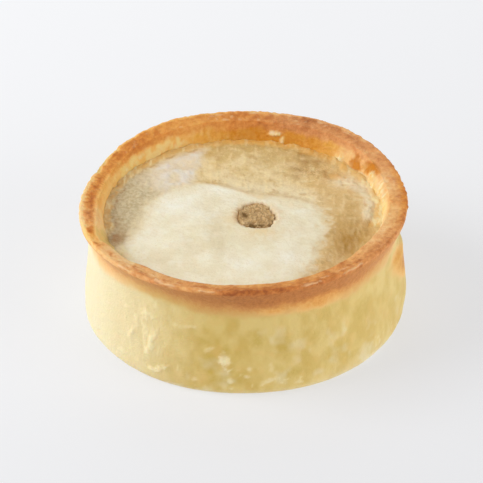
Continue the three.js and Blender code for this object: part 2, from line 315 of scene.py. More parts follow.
def linear(red, green, blue):
    """A colour as it is seen, from 0 to 255, as linear light, by the sRGB curve."""
    def channel(value):
        share = value / 255
        return share / 12.92 if share <= 0.04045 else ((share + 0.055) / 1.055) ** 2.4
    return (channel(red), channel(green), channel(blue), 1)


class Shader:
    """A material's nodes, made and joined in few words."""

    def __init__(self, name):
        self.material = bpy.data.materials.new(name)
        self.material.use_nodes = True
        self.tree = self.material.node_tree
        self.surface = self.tree.nodes["Principled BSDF"]
        self.place = self.node("TexCoord").outputs["Object"]

    def node(self, kind):
        return self.tree.nodes.new("ShaderNode" + kind)

    def fill(self, node, given):
        """Joins a node's inputs to sockets, or sets them to values."""
        for key, value in given.items():
            if isinstance(value, bpy.types.NodeSocket):
                self.tree.links.new(value, node.inputs[key])
            else:
                node.inputs[key].default_value = value

    def masks(self, name):
        """The channels of a colour attribute."""
        attribute = self.node("Attribute")
        attribute.attribute_name = name
        split = self.node("SeparateColor")
        self.fill(split, {"Color": attribute.outputs["Color"]})
        return split.outputs["Red"], split.outputs["Green"], split.outputs["Blue"]

    def noise(self, size_mm, detail):
        node = self.node("TexNoise")
        self.fill(node, {"Vector": self.place, "Scale": 1 / (size_mm * MM)})
        self.fill(node, {"Detail": detail, "Roughness": NOISE_ROUGHNESS})
        return node.outputs["Fac"]

    def math(self, operation, a, b):
        node = self.node("Math")
        node.operation = operation
        self.fill(node, {0: a, 1: b})
        return node.outputs[0]

    def plus(self, a, b):
        return self.math("ADD", a, b)

    def times(self, a, b):
        return self.math("MULTIPLY", a, b)

    def span(self, value, low, high, start=0, end=1):
        """value's share of the way from low to high, smoothed, as a number from start to end."""
        node = self.node("MapRange")
        node.interpolation_type = "SMOOTHSTEP"
        self.fill(node, {"Value": value, "From Min": low, "From Max": high, "To Min": start, "To Max": end})
        return node.outputs["Result"]

    def mix(self, share, a, b):
        node = self.node("Mix")
        node.data_type = "RGBA"
        self.fill(node, {"Factor": share, MIX_A: a, MIX_B: b})
        return node.outputs[MIX_RESULT]

    def coats(self, base, *layers):
        """A base with coats over it, each by its share. A colour is a socket, or as it is seen."""
        def paint(given):
            return linear(*given) if isinstance(given, tuple) else given

        color = paint(base)
        for share, over in layers:
            color = self.mix(share, color, paint(over))
        return color

    def ramp(self, value, places, colors):
        """Colours, as they are seen, at places along a value from 0 to 1."""
        node = self.node("ValToRGB")
        elements = node.color_ramp.elements
        while len(elements) < len(places):
            elements.new(0.5)
        for element, place, color in zip(elements, places, colors):
            element.position = place
            element.color = linear(*color)
        self.fill(node, {"Fac": value})
        return node.outputs["Color"]

    def bump(self, heights):
        """Bumps from several (height, size in millimetres) layers."""
        normal = None
        for height, size_mm in heights:
            node = self.node("Bump")
            self.fill(node, {"Distance": size_mm * MM, "Strength": 1, "Height": height})
            if normal is not None:
                self.fill(node, {"Normal": normal})
            normal = node.outputs["Normal"]
        self.fill(self.surface, {"Normal": normal})

    def finish(self, color, roughness, subsurface, reach_mm, gloss):
        self.fill(self.surface, {
            "Base Color": color, "Roughness": roughness, "Specular IOR Level": gloss,
            "Subsurface Weight": subsurface, "Subsurface Scale": reach_mm * MM, "Subsurface Radius": SCATTER,
        })
        return self.material


# ---- Form of the case ----

def rim_radius(turn):
    return RIM_RADIUS + waves(RIM_RADIUS_WAVES, turn)


def rim_height(turn):
    return RIM_HEIGHT + waves(RIM_HEIGHT_WAVES, turn)


def wall_bulges(turn, z):
    return sum(
        out * hump(arc_from(turn, angle, WAIST_RADIUS) / wide, (z - middle) / tall)
        for angle, middle, wide, tall, out in WALL_BULGES
    )


def blister(turn, z):
    b = BLISTER
    across = hump(arc_from(turn, b["angle"], WAIST_RADIUS) / b["wide"])
    rise = smooth(z, b["bottom"], b["full"])
    return b["out"] * across * rise * fall(z, b["top"] - b["step"], b["top"])


def wall_radius(turn, z):
    swell = SWELL * fall(z, *SWELL_HEIGHTS)
    flare = smooth(z, WAIST_HEIGHT, RIM_HEIGHT - RIM_ROUND) ** FLARE_POWER
    foot = waves(FOOT_WAVES, turn) * fall(z, *FOOT_WAVE_HEIGHTS)
    inset = np.clip(1 - z / FOOT_ROUND, 0, 1)
    rounding = FOOT_INSET * (1 - np.sqrt(1 - inset * inset))
    relief = (wall_bulges(turn, z) + blister(turn, z)) * smooth(z, 0, FOOT_ROUND)
    return WAIST_RADIUS + swell + (rim_radius(turn) - WAIST_RADIUS) * flare + foot - rounding + relief


def inner_radius(turn, z):
    thin = humps_round(THIN_RIM, turn, SEAT_RADIUS)
    edge = rim_radius(turn) - RIM_THICK - waves(RIM_THICK_WAVES, turn) + thin
    shoulder_end = rim_height(turn) - SHOULDER_DEPTH
    shoulder_top = rim_height(turn) - RIM_FALL
    shoulder = SHOULDER_IN * fall(z, shoulder_end - SHOULDER_SOFT, shoulder_top + SHOULDER_SOFT)
    below = np.clip(1 - (z - LID_EDGE_HEIGHT) / (shoulder_end - LID_EDGE_HEIGHT), 0, 1)
    return edge - shoulder - (edge - SHOULDER_IN - SEAT_RADIUS) * below


# Rings of the case, from the base over the rim and down the inside
BASE_RINGS = 4
BASE_SHARES = (0.25, 0.97)      # the first and the last one's share of the base's radius
FOOT_RINGS = 8
WALL_RINGS = 72
ROUND_RINGS = 7
TOP_RINGS = 15
INNER_RINGS = 30
INNER_FOOT = 28.8   # where the part of the inside that shows ends, just below the lid's edge


def case_rows():
    """The case's smooth surface as rings: part, share of the way across it, radius, height."""
    turn = np.linspace(0, 2 * math.pi, CASE_COLUMNS, endpoint=False)
    flat = np.zeros_like(turn)
    top = rim_height(turn)
    rows = []
    for share in np.linspace(*BASE_SHARES, BASE_RINGS):
        rows.append(("base", share, wall_radius(turn, flat) * share, flat))
    for share in np.linspace(0, 1, FOOT_RINGS, endpoint=False):
        z = FOOT_ROUND * (1 - math.cos(share * math.pi / 2))
        rows.append(("wall", share, wall_radius(turn, flat + z), flat + z))
    for share in np.linspace(0, 1, WALL_RINGS, endpoint=False):
        z = mix(FOOT_ROUND, top - RIM_ROUND, share)
        rows.append(("wall", share, wall_radius(turn, z), z))
    edge = wall_radius(turn, top - RIM_ROUND)
    across = edge - inner_radius(turn, top - RIM_FALL)
    for share in np.linspace(0, 1, ROUND_RINGS, endpoint=False):
        angle = share * math.pi / 2
        radius = edge - ROUND_SHARE * across * (1 - math.cos(angle))
        rows.append(("top", 0, radius, top - RIM_ROUND * (1 - math.sin(angle))))
    for share in np.linspace(0, 1, TOP_RINGS, endpoint=False):
        radius = edge - mix(ROUND_SHARE, 1, share) * across
        rows.append(("top", share, radius, top - RIM_FALL * share ** FALL_POWER))
    for share in np.linspace(0, 1, INNER_RINGS):
        z = mix(top - RIM_FALL, INNER_FOOT, share)
        rows.append(("inner", share, inner_radius(turn, z), z))
    for radius, z in (
        (SEAT_RADIUS, SEAT_FOOT),
        (CAVITY_RADIUS, FLOOR_THICK + CAVITY_ROUND),
        (CAVITY_RADIUS - CAVITY_ROUND, FLOOR_THICK),
    ):
        rows.append(("hidden", 0, flat + radius, flat + z))
    return turn, rows


PLATE_CROWN = 1.05      # how high a plate stands in its middle, as a share of its own measure
PLATE_SLOPE = 0.5       # and how much of that it loses by its edge


def plates(items, turn, z, radius, ragged, soft):
    """Ragged-edged plates: 1 on a plate and 0 off it, and how far each point of one stands out.

    An item is its angle, height, half width, half height, how far out and, if it leans, how much.
    """
    cover = np.zeros_like(z)
    stand = np.zeros_like(z)
    for angle, middle, wide, tall, out, *lean in items:
        lean = math.radians(lean[0]) if lean else 0
        right, up = arc_from(turn, angle, radius), z - middle
        across = right * math.cos(lean) - up * math.sin(lean)
        along = right * math.sin(lean) + up * math.cos(lean)
        away = np.hypot(across / wide, along / tall) + ragged
        plate = fall(away, 1 - soft, 1)
        cover = np.maximum(cover, plate)
        stand = np.maximum(stand, plate * out * (PLATE_CROWN - PLATE_SLOPE * np.clip(away, 0, 1)))
    return cover, stand


def bands(place, stops):
    """A value that goes from stop to stop of (place, value), with soft steps."""
    value = stops[0][1]
    for (start, _), (end, next_value) in zip(stops, stops[1:]):
        value = mix(value, next_value, smooth(place, start, end))
    return value


# How dark the crust is baked, from 0 (raw dough) to 1 (dark brown), at angles round the pie: on the
# wall under the rim, on the rim from its outer edge inwards, and on the wall inside it
OUTER_BAKE = (
    (0, 0.5), (60, 0.6), (110, 0.75), (150, 0.55), (180, 0.36), (196, 0.4), (210, 0.5), (225, 0.6),
    (240, 0.7), (256, 0.8), (270, 0.88), (300, 0.84), (315, 0.78), (330, 0.66), (345, 0.56),
)
EDGE_BAKE = (
    (0, 0.72), (20, 0.66), (45, 0.5), (90, 0.46), (135, 0.3), (150, 0.24), (180, 0.22), (203, 0.24),
    (214, 0.32), (226, 0.45), (240, 0.58), (256, 0.62), (270, 0.9), (300, 0.74), (330, 0.62),
)
TOP_BAKE = (
    (0, 0.56), (20, 0.58), (60, 0.76), (90, 0.7), (120, 0.6), (150, 0.7), (180, 0.56), (195, 0.64),
    (204, 0.52), (214, 0.36), (228, 0.5), (240, 0.56), (256, 0.7), (270, 0.78), (315, 0.68), (340, 0.6),
)
CREST_BAKE = (
    (0, 0.5), (45, 0.7), (90, 0.76), (110, 0.6), (135, 0.7), (150, 0.72), (192, 0.74), (202, 0.68),
    (211, 0.3), (222, 0.32), (230, 0.48), (240, 0.46), (256, 0.64), (315, 0.66), (330, 0.46),
)
SHOULDER_BAKE = (
    (0, 0.4), (30, 0.5), (60, 0.72), (90, 0.72), (108, 0.56), (138, 0.7), (150, 0.56), (162, 0.4),
    (190, 0.36), (203, 0.18), (212, 0.2), (222, 0.26), (232, 0.5), (300, 0.64), (335, 0.4),
)
INNER_BAKE = (
    (0, 0.3), (20, 0.28), (45, 0.44), (60, 0.66), (90, 0.72), (112, 0.4), (140, 0.28), (165, 0.3),
    (188, 0.3), (202, 0.16), (214, 0.2), (230, 0.4), (300, 0.5), (340, 0.3),
)
# The height that the browning under the rim comes down to
OUTER_BAKE_FOOT = (
    (0, 27), (60, 26), (110, 25.5), (150, 26), (195, 24.4), (210, 23.6), (226, 25.4), (240, 26.6),
    (256, 25), (275, 24.3), (310, 24), (330, 24.6),
)
# Where fat makes the inside amber, where browning is rosy rather than golden, where the wall's
# dough is pale, and where the inside is streaked
AMBER = (
    (0, 0), (20, 0), (44, 0.1), (48, 0.8), (58, 1), (92, 1), (108, 0.8), (118, 0.35),
    (128, 0.4), (140, 0.6), (155, 0.35), (162, 0), (340, 0),
)
PINK = (
    (0, 0.6), (12, 1), (72, 1), (85, 0.35), (100, 0.2), (130, 0), (180, 0.1), (194, 0.8),
    (212, 0.9), (240, 0.9), (260, 0.6), (275, 0.4), (300, 0.5), (330, 0.9),
)
PALE_WALL = (
    (0, 0.15), (60, 0.1), (110, 0.3), (150, 0.5), (180, 1), (204, 1), (228, 0.62), (242, 0.3),
    (258, 0), (320, 0.1),
)
STREAKY = (
    (0, 1), (24, 0.9), (34, 0.1), (44, 0.5), (50, 0.1), (72, 0.1), (104, 0.3), (118, 1),
    (142, 0.9), (157, 0.5), (168, 0), (200, 0), (326, 0.3), (340, 0.9),
)
# Where the crust under the rim is tawny and matt, where the rim is blotched, and how grainy it is
TAWNY = ((0, 0), (212, 0), (236, 1), (262, 0.9), (285, 0.6), (322, 0.7), (345, 0.3))
BLOTCHED = (
    (0, 0.5), (20, 0.5), (60, 0.35), (120, 0.6), (135, 0.9), (195, 0.8), (204, 1), (226, 1),
    (240, 0.4), (330, 0.5),
)
GRAINY = ((0, 0.24), (20, 0.16), (45, 0.08), (120, 0.1), (140, 0.2), (200, 0.16), (330, 0.2))
# Where light crumbs lie on the rim, and how strong the torn flakes inside it are
CRUMBLY = ((0, 0.3), (20, 1), (115, 1), (140, 0.5), (190, 0.2), (205, 0), (325, 0))
TORN_SHARE = ((0, 1), (85, 1), (110, 0.5), (160, 0.5), (180, 0), (320, 1))

# Single places, in the form of THIN_RIM: the rim's pale outer edge, the wall's pale foot, and where
# the left of the rim and the right of its outer edge are golden and not rosy
PALE_EDGE = ((178, 26, 1),)
PALE_FOOT = ((318, 28, 1),)
GOLDEN_LEFT = ((204, 9, 1),)
GOLDEN_RIGHT = ((5, 20, 1),)
# The angles that the most blotched stretch of the rim goes from and to
SPOTTED = (201, 228)
# The haze of flour at the front left of the wall, and the painted shade in the corner inside the
# rim where the lid meets it: angle, height, half width, half height
HAZE = (231, 15, 8, 11)
SHADED_CORNER = (201, 29.4, 4.5, 2.4)

# Patches where fat has soaked the wall: angle, height, half width, half height, how far out, lean
FAT_PATCHES = (
    (264, 14.5, 2.6, 3, 0), (275, 18, 3, 4, 0), (247, 17.5, 3, 2.6, 0), (255, 17, 3.4, 3, 0),
    (247, 9.5, 6, 4.4, 0), (258, 10, 4, 5, 0, -20), (242, 7, 4, 3.4, 0), (264, 5, 6, 3, 0),
    (285, 14, 4, 5, 0), (296, 16.5, 3.6, 4.4, 0), (303, 10, 5, 4, 0), (318, 18, 4.6, 5, 0),
    (289, 6.5, 6, 3, 0), (312, 6, 6, 3, 0), (234, 6, 4, 2.6, 0), (18, 8, 5, 4, 0),
    (34, 16, 4, 5, 0), (48, 7, 6, 3, 0), (62, 15, 4, 4, 0), (76, 6, 7, 3, 0), (88, 17, 4, 4, 0),
    (104, 10, 5, 5, 0), (122, 16, 4, 4, 0), (134, 6, 6, 3, 0), (152, 13, 4, 5, 0),
)
# The deep orange patch inside the rim on the right, and the warm one on the blister, in the same form
ORANGE_PATCH = ((36, 31.2, 4, 3, 0), (28, 32.9, 5.6, 2, 0, 18))
BLISTER_GLOW = ((353, 18, 16, 6.4, 0, 24),)
# The orange fringe under the browned crust, at the front right, in the same form
FRINGE = ((298, 26.8, 13, 3.4, 0), (281, 26.6, 6, 1.8, 0))

# Light shreds on the rim's top, with the way across it, from 0 to 5, in place of the height
RIM_WAY = 5
RIM_SHREDS = (
    (223, 0.9, 1.3, 0.35, 0.2, -30), (226, 1.3, 1.8, 0.4, 0.3, -35), (229, 2, 1.6, 0.4, 0.25, -28),
    (231.5, 1, 1.4, 0.35, 0.25, -20), (236, 2.2, 1.8, 0.3, 0.15, 12), (246, 0.9, 2.2, 0.3, 0.2, -8),
    (254, 0.6, 2, 0.28, 0.15, -6), (300, 1, 2.2, 0.3, 0.15, 10), (308, 1.2, 2.6, 0.3, 0.2, 10),
    (60, 1.2, 1.6, 0.5, 0.15, 10), (86, 1, 2, 0.5, 0.2, -8), (99, 1.6, 1.6, 0.5, 0.2, 12),
    (47, 1.6, 1.8, 0.5, 0.15),
)

# Flour and shreds on the wall, in the same form as the patches of fat
WALL_SHREDS = (
    (236.6, 14, 1, 4.6, 0.3, 20), (235, 10.4, 1.2, 3.4, 0.3, 26), (233.4, 20.2, 2, 2.4, 0.3, 20),
    (226.5, 12.4, 1, 3.2, 0.2, 28), (229, 17.4, 0.8, 3, 0.2, -36), (223.5, 19.4, 0.8, 2.4, 0.15, 70),
    (237, 24, 1, 2.4, 0.12, 20), (240, 5.4, 1, 3.4, 0.25, 52), (236, 4.2, 1, 2.4, 0.25, 74),
    (250, 20.4, 0.9, 3.8, 0.12, 80), (263.6, 11.6, 2.1, 2.4, 0.4, 15), (265.4, 8.6, 1.7, 1.2, 0.35),
    (265.2, 4.8, 0.9, 1.6, 0.2), (266, 2.6, 0.9, 0.8, 0.2), (272, 9, 1.1, 0.9, 0.15),
    (271.5, 6.6, 1.4, 0.8, 0.15), (280, 9.2, 1, 2.4, 0.12, -12), (279, 4.8, 0.8, 3.4, 0.15, 62),
    (223, 4.8, 2.2, 1, 0.15), (253, 4.4, 1.2, 0.8, 0.12), (258, 14.6, 0.8, 1.6, 0.12, 50),
    (294, 12.6, 0.8, 1.2, 0.1), (28, 11, 1, 3, 0.25, 20), (44, 5, 1.4, 1, 0.25),
    (66, 9, 0.9, 3.4, 0.25, -30), (71, 17, 0.8, 2.4, 0.15, 60), (96, 5, 1.6, 1, 0.2),
    (112, 12, 1, 4, 0.3, 18), (115, 7, 0.9, 2.6, 0.25, 50), (140, 5, 1.2, 0.9, 0.2),
)


def dress_case():
    turn, rows = case_rows()
    share = np.array([row[1] for row in rows])[:, None] + 0 * turn
    radius = np.array([row[2] for row in rows])
    height = np.array([row[3] for row in rows])
    turns = turn[None, :] + 0 * radius

    def on(part):
        return np.array([row[0] == part for row in rows]).astype(float)[:, None] + 0 * turn

    def round_pie(stops):
        return round_turn(stops, turns)

    wall, top, inner = on("wall"), on("top"), on("inner")
    grid = np.stack([radius * np.cos(turns), radius * np.sin(turns), height], axis=-1)
    upright = grid * np.array([1, 1, 0.3])
    broad, medium, fine = fbm(grid, 8, 11), fbm(grid, 2.6, 23), fbm(grid, 1, 37)
    hairs, cloudy = fbm(upright, 1.1, 41), fbm(grid * np.array([1, 1, 0.6]), 3.4, 43)
    specks = noise(grid, 0.8, 47)
    low_wall = fall(height, 16, 27)

    # Fat, flour and shreds on the wall
    ragged = 0.3 * broad + 0.35 * medium + 0.15 * fine
    fat, _ = plates(FAT_PATCHES, turns, height, WAIST_RADIUS, ragged, 0.9)
    veins = smooth(fbm(grid, 6, 53), 0, 0.5) * low_wall * 0.35
    fat = np.maximum(fat, veins) * wall * (1 - round_pie(PALE_WALL) * 0.85)
    _, shreds_out = plates(WALL_SHREDS, turns, height, WAIST_RADIUS, 0.6 * medium + 0.7 * fine, 0.6)
    shreds = np.clip(4 * shreds_out, 0, 1)
    angle, middle, wide, tall = HAZE
    haze = hump(arc_from(turns, angle, WAIST_RADIUS) / wide, (height - middle) / tall)
    haze = haze * smooth(hairs + 0.4 * medium, -0.2, 0.4)
    clouds = smooth(fbm(grid, 5, 61), 0, 0.5) * low_wall
    flecks = smooth(specks + 0.8 * medium + 0.4 * broad, 0.75, 1.05) * fall(height, 4, 12)

    # Torn pastry and streaks inside the rim
    ragged = 0.7 * medium + 0.3 * hairs + 0.4 * fine
    torn, torn_out = plates(TORN_FLAKES, turns, height, SEAT_RADIUS, ragged, 0.7)
    torn, torn_out = (part * inner * round_pie(TORN_SHARE) for part in (torn, torn_out))
    streaks = smooth(0.6 * hairs + 0.8 * medium, -0.1, 0.35) * round_pie(STREAKY)
    streaks = streaks * smooth(share + 0.25 * medium, 0.1, 0.5) * inner

    # The broken line of lifted flakes along the outer edge, paler than the crust, their paleness partly a
    # painted highlight, and crumbs on the rim
    lift = humps_round(RIM_FLAKES, turns, RIM_RADIUS)
    below_top = rim_height(turns) - height
    outer_edge = top * fall(share, 0.02, 0.1)
    on_edge = outer_edge * hump((below_top - 0.35 + 0.4 * medium + 0.3 * fine) / 0.34)
    flakes = on_edge * smooth(lift + 0.35 * fine + 0.2 * medium, 0.16, 0.32) * smooth(lift, 0.02, 0.1)
    crumbs = smooth(noise(grid, 1.1, 47) + 0.4 * fine + 0.3 * medium, 0.45, 0.8) * top * round_pie(CRUMBLY)
    ragged = 0.4 * medium + 0.6 * fine
    shaved, shaved_out = plates(RIM_SHREDS, turns, RIM_WAY * share, RIM_RADIUS, ragged, 0.5)
    shaved, shaved_out = shaved * top, shaved_out * top
    blotches = smooth(fbm(grid, 2.2, 67) + 0.5 * broad, 0.05, 0.45) * round_pie(BLOTCHED)
    blotches = blotches * (top + inner * (1 - share))

    # Relief
    on_wall = 0.12 * broad + 0.1 * medium + 0.03 * fine - 0.06 * fat + shreds_out + 0.08 * flecks
    lifted = 0.35 * flakes + 0.14 * crumbs - 0.12 * blotches + shaved_out
    on_inside = 0.25 * broad * smooth(share, 0.9, 0.2) + 0.12 * medium + 0.04 * fine
    relief = wall * (on_wall + 0.1 * haze)
    relief = relief + top * (0.2 * broad + 0.34 * medium + 0.2 * fine + lifted)
    relief = relief + inner * (on_inside + 0.12 * streaks)
    relief = relief * smooth(height, 0, 1)
    grid = grid + grid_normals(grid) * relief[..., None]
    grid = grid - np.stack([np.cos(turns), np.sin(turns), 0 * turns], axis=-1) * torn_out[..., None]
    grid[..., 2] += outer_edge * lift * 0.6

    # Baking, in bands from the outer wall over the rim to the lid
    foot = round_pie(OUTER_BAKE_FOOT)
    outer = round_pie(OUTER_BAKE) * smooth(height + 0.6 * medium + 0.7 * broad, foot - 1.7, foot + 6)
    ragged = 0.2 * broad + 0.1 * medium
    blister_glow, _ = plates(BLISTER_GLOW, turns, height, WAIST_RADIUS, ragged, 1)
    fringe, _ = plates(FRINGE, turns, height, WAIST_RADIUS, 0.3 * medium + 0.2 * broad, 1)
    outer = most(outer * (1 - 0.2 * fringe), 0.72 * blister_glow, 0.55 * fringe)
    place = share + 0.12 * medium + 0.06 * fine
    edge, shoulder = round_pie(EDGE_BAKE), round_pie(SHOULDER_BAKE)
    on_top = bands(place, (
        (0.04, edge), (0.26, round_pie(TOP_BAKE)), (0.58, round_pie(CREST_BAKE)), (0.95, shoulder),
    ))
    inside = bands(place, ((0.12, shoulder), (0.4, round_pie(INNER_BAKE))))
    bake = wall * outer + top * (on_top + 0.2 * medium + round_pie(GRAINY) * fine)
    bake = bake + inner * (inside + 0.14 * medium + 0.06 * fine)
    past_start, past_end = (arc_from(turns, angle, RIM_RADIUS) for angle in SPOTTED)
    spotted = smooth(past_start, 0, 4) * fall(past_end, -3, 3)
    bake = bake - 0.12 * streaks + blotches * (0.14 * smooth(bake, 0.3, 0.6) + 0.2 * spotted)

    # Amber, cream, pale and rosy places
    amber = inner * round_pie(AMBER) * smooth(share + 0.3 * medium, 0.2, 0.5) * (0.85 + 0.5 * medium)
    patch, _ = plates(ORANGE_PATCH, turns, height, SEAT_RADIUS, 0.5 * medium + 0.3 * fine, 0.8)
    patch = patch * np.maximum(inner, top * smooth(share, 0.75, 0.95))
    amber = most(amber, patch, np.maximum(0.75 * blister_glow, 0.25 * fringe) * wall)
    bake = bake + patch * 0.6
    cream = np.maximum(most(shreds, 0.5 * flecks, 0.8 * haze) * wall, torn)
    pale_edge = 0.55 * top * fall(place, 0, 0.3) * humps_round(PALE_EDGE, turns, RIM_RADIUS)
    pale_foot = 0.35 * fall(height + medium, 1, 8) * humps_round(PALE_FOOT, turns, WAIST_RADIUS)
    clouded = 0.4 * clouds + 0.3 * fall(height, 0.5, 3) + pale_foot
    pale = wall * np.maximum(round_pie(PALE_WALL), clouded)
    # Paler flakes, crumbs and shreds; along the flakes the paleness is partly a painted highlight
    light = most(flakes, 0.6 * crumbs, pale_edge, 0.8 * shaved)
    left_inside = (top + inner) * humps_round(GOLDEN_LEFT, turns, RIM_RADIUS)
    right_edge = top * fall(place, 0.15, 0.4) * humps_round(GOLDEN_RIGHT, turns, RIM_RADIUS)
    pink = round_pie(PINK) * (1 - left_inside) * (1 - right_edge)
    # Painted shade in the corner where the lid meets the wall at the front left
    angle, middle, wide, tall = SHADED_CORNER
    corner_shade = inner * hump(arc_from(turns, angle, SEAT_RADIUS) / wide, (height - middle + 0.6 * medium) / tall)

    return make_piece("baked_case", grid, crust_material(), (
        ("bake", (bake, amber, light)), ("dust", (cream, fat, pale)),
        ("hue", (pink, 0.5 + 0.8 * cloudy * (1 - on("base")), streaks)),
        # the damp mask here is painted shade in the corner where the lid meets the wall
        ("side", (wall * round_pie(TAWNY) * (1 - fringe), inner, 0.5 + hairs)), ("damp", (corner_shade,)),
    ))


# The crust's colours as it bakes: the stages, and its golden, its rosy and its matt colour at each
BAKE_STAGES = (0, 0.25, 0.45, 0.6, 0.75, 0.88, 1)
GOLDEN = (
    (240, 206, 132), (250, 202, 122), (242, 180, 92), (230, 156, 70), (214, 132, 52), (196, 112, 40),
    (168, 88, 30),
)
ROSY = (
    (240, 212, 160), (246, 208, 152), (238, 184, 122), (226, 160, 98), (208, 138, 80), (184, 114, 60),
    (156, 92, 50),
)
MATT = (
    (224, 194, 120), (220, 178, 104), (218, 166, 94), (214, 154, 86), (204, 138, 76), (192, 124, 66),
    (168, 104, 56),
)


def crust_material():
    s = Shader("baked crust")
    # light: paler flakes, crumbs and shreds, partly a painted highlight along the flakes
    bake, amber, light = s.masks("bake")
    cream, fat, pale = s.masks("dust")
    pink, cloudy, streaks = s.masks("hue")
    tawny, inner, hairs = s.masks("side")
    # The damp mask is painted shade in the corner where the lid meets the wall
    corner_shade = s.masks("damp")[0]
    grain, mottle, speck = s.noise(1, 2), s.noise(4, 3), s.noise(0.5, 2)
    dough = s.coats(
        (216, 184, 98),
        (s.span(cloudy, 0.2, 0.8), (229, 202, 126)),
        (s.span(mottle, 0.5, 0.7, 0, 0.4), (232, 194, 116)),
        (s.times(fat, s.span(grain, 0.3, 0.65, 0.5, 0.75)), (205, 172, 72)),
        (pale, (240, 228, 188)),
    )
    uneven = s.plus(s.span(grain, 0.3, 0.7, -0.05, 0.05), s.span(speck, 0.35, 0.65, -0.015, 0.015))
    depth = s.plus(bake, s.times(uneven, s.span(bake, 0.15, 0.5)))
    golden, rosy, matt = (s.ramp(depth, BAKE_STAGES, colors) for colors in (GOLDEN, ROSY, MATT))
    browned = s.coats(golden, (pink, rosy), (tawny, matt))
    honey = s.coats((244, 188, 78), (s.span(depth, 0.3, 0.85), (212, 134, 14)))
    torn = s.coats((250, 234, 186), (s.times(inner, s.span(hairs, 0.25, 0.65)), (242, 204, 128)))
    color = s.coats(
        dough,
        (s.span(bake, 0.02, 0.28), browned),
        (amber, honey),
        (s.times(streaks, 0.75), (250, 224, 154)),
        # Paler flakes, crumbs and shreds, partly a painted highlight along the flakes
        (s.times(light, 0.6), (250, 214, 164)),
        (s.times(cream, s.span(grain, 0.35, 0.6, 0.6, 0.85)), torn),
        # Painted shade in the corner where the lid meets the wall
        (s.times(corner_shade, s.span(grain, 0.3, 0.6, 0.5, 0.85)), (160, 122, 72)),
    )
    roughness = s.span(s.plus(fat, amber), 0, 1, 0.62, 0.42)
    s.bump(((s.noise(1.6, 3), 0.22), (grain, 0.14), (speck, 0.08)))
    return s.finish(color, roughness, subsurface=0.3, reach_mm=1.6, gloss=0.3)


# ---- Form of the lid ----

EDGE_NOISE_RADIUS = 8   # of the ring on which the noise of the hole's edge is read


def hole_radius(turn):
    """The radius of the hole's ragged edge."""
    ring = [EDGE_NOISE_RADIUS * np.cos(turn), EDGE_NOISE_RADIUS * np.sin(turn), 0 * turn]
    around = np.stack(ring, axis=-1)
    dent = humps_round(HOLE_DENTS, turn, HOLE_RADIUS)
    return HOLE_RADIUS + waves(HOLE_WAVES, turn) - dent + 0.5 * fbm(around, 3, 5) + 0.5 * fbm(around, 0.9, 7)


def dome_height(x, y):
    return LID_EDGE_HEIGHT + LID_DOME * (1 - (x * x + y * y) / SEAT_RADIUS ** 2)


def hill(item, x, y):
    middle_x, middle_y, long, across, turn, up = item
    c, s = math.cos(math.radians(turn)), math.sin(math.radians(turn))
    along = (x - middle_x) * c + (y - middle_y) * s
    off = (y - middle_y) * c - (x - middle_x) * s
    return up * hump(along / long, off / across)


def crease_height(x, y):
    behind = y - along_line(CREASE, x)
    left, right = CREASE_ENDS
    within = smooth(x, *left) * fall(x, *right)
    step = smooth(behind, -0.3 * CREASE_WIDTH, CREASE_WIDTH) * fall(behind, *CREASE_FADE)
    return -CREASE_DROP * within * step


def lid_height(x, y):
    relief = sum(hill(item, x, y) for item in LID_RELIEF)
    calm = smooth(SEAT_RADIUS - np.hypot(x, y), 0, 5)
    return dome_height(x, y) + (relief + crease_height(x, y)) * calm


LID_UNDER = (0, 0.2, 0.5, 0.8, 1)
LID_EDGE_RINGS = 4
LID_EDGE_SHARES = (0.3, 0.9)    # the first and the last one's share of the edge's thickness
LID_TOP_RINGS = 104
LIP_RINGS = 9
LIP_SHARE = 0.045
LIP_DROP = 1.5
LID_CURL = 0.8      # how far the lid's edge curls up the wall at most
LID_SINK = 0.12     # and how far it is baked into it
LID_THICKENS = 8    # how far from the edge it starts to thicken

# Marks on the lid: middle x and y, half lengths along the turned axes, turn, strength
STAINS = (
    (17.3, 28, 3.4, 4.6, 0, 0.9), (23, 21, 4.2, 2.6, -20, 0.6), (21, 26.5, 2.4, 3, 0, 0.7),
    (15.5, 22.5, 3, 3, 0, 0.6), (14.7, 18.5, 2.4, 1.6, 0, 0.5), (10, 21, 3, 1.4, 30, 0.3),
    (-4.5, -19, 0.7, 0.5, 20, 0.8), (1.5, -12.5, 0.4, 0.6, 0, 0.6),
)
# Painted shade where the lid meets the wall at the front left, in the same form
SHADED_LID_CORNER = (-34.2, -12.5, 3.4, 7, -12, 1)
OLIVE = (29, -12, 9, 15, 0, 1)
CRUMBLY_PART = (20, 22, 9, 7, 0, 1)
# Where the flour is thin and grey, where it is peach and where it is thick, in the same form
GREY_FLOUR = (
    (-7, -14, 4.2, 13, 8, 1.2), (-14.5, -18, 5, 9, 10, 0.7), (-22, -23, 5, 4, 0, 0.6),
    (14, -18, 2, 7, 0, 0.3), (21, -14, 2.4, 12, 0, 0.8),
)
PEACH_FLOUR = (
    (5, -11, 8, 4.6, 0, 1.1), (-3.5, -5, 3.4, 6, 0, 0.9), (13, 3.5, 7, 2.6, -15, 0.6),
    (4, 7.4, 6, 1.6, -12, 0.6),
)
BRIGHT_FLOUR = (
    (-19, 4, 9, 11, 20, 1), (12, -22, 5, 8, 0, 0.8), (-7, 11, 6, 2.6, -20, 0.8),
    (0, -26, 8, 6, 0, 0.6), (-26, -12, 4, 7, 0, 0.4),
)

# The torn patch along the right of the lid, as a line of x and y, and the scrap behind it
TORN_PATCH = ((28.5, 15.8), (31, 14.4), (33.4, 12), (34.6, 8.5), (35, 4), (34.6, -2))
TORN_SCRAP = (28.4, 24, 1.7, 3.4, -8, 1.1)
# The buttery place between the two
BUTTERY = (26.5, 19, 4.4, 2.6, -25, 0.8)
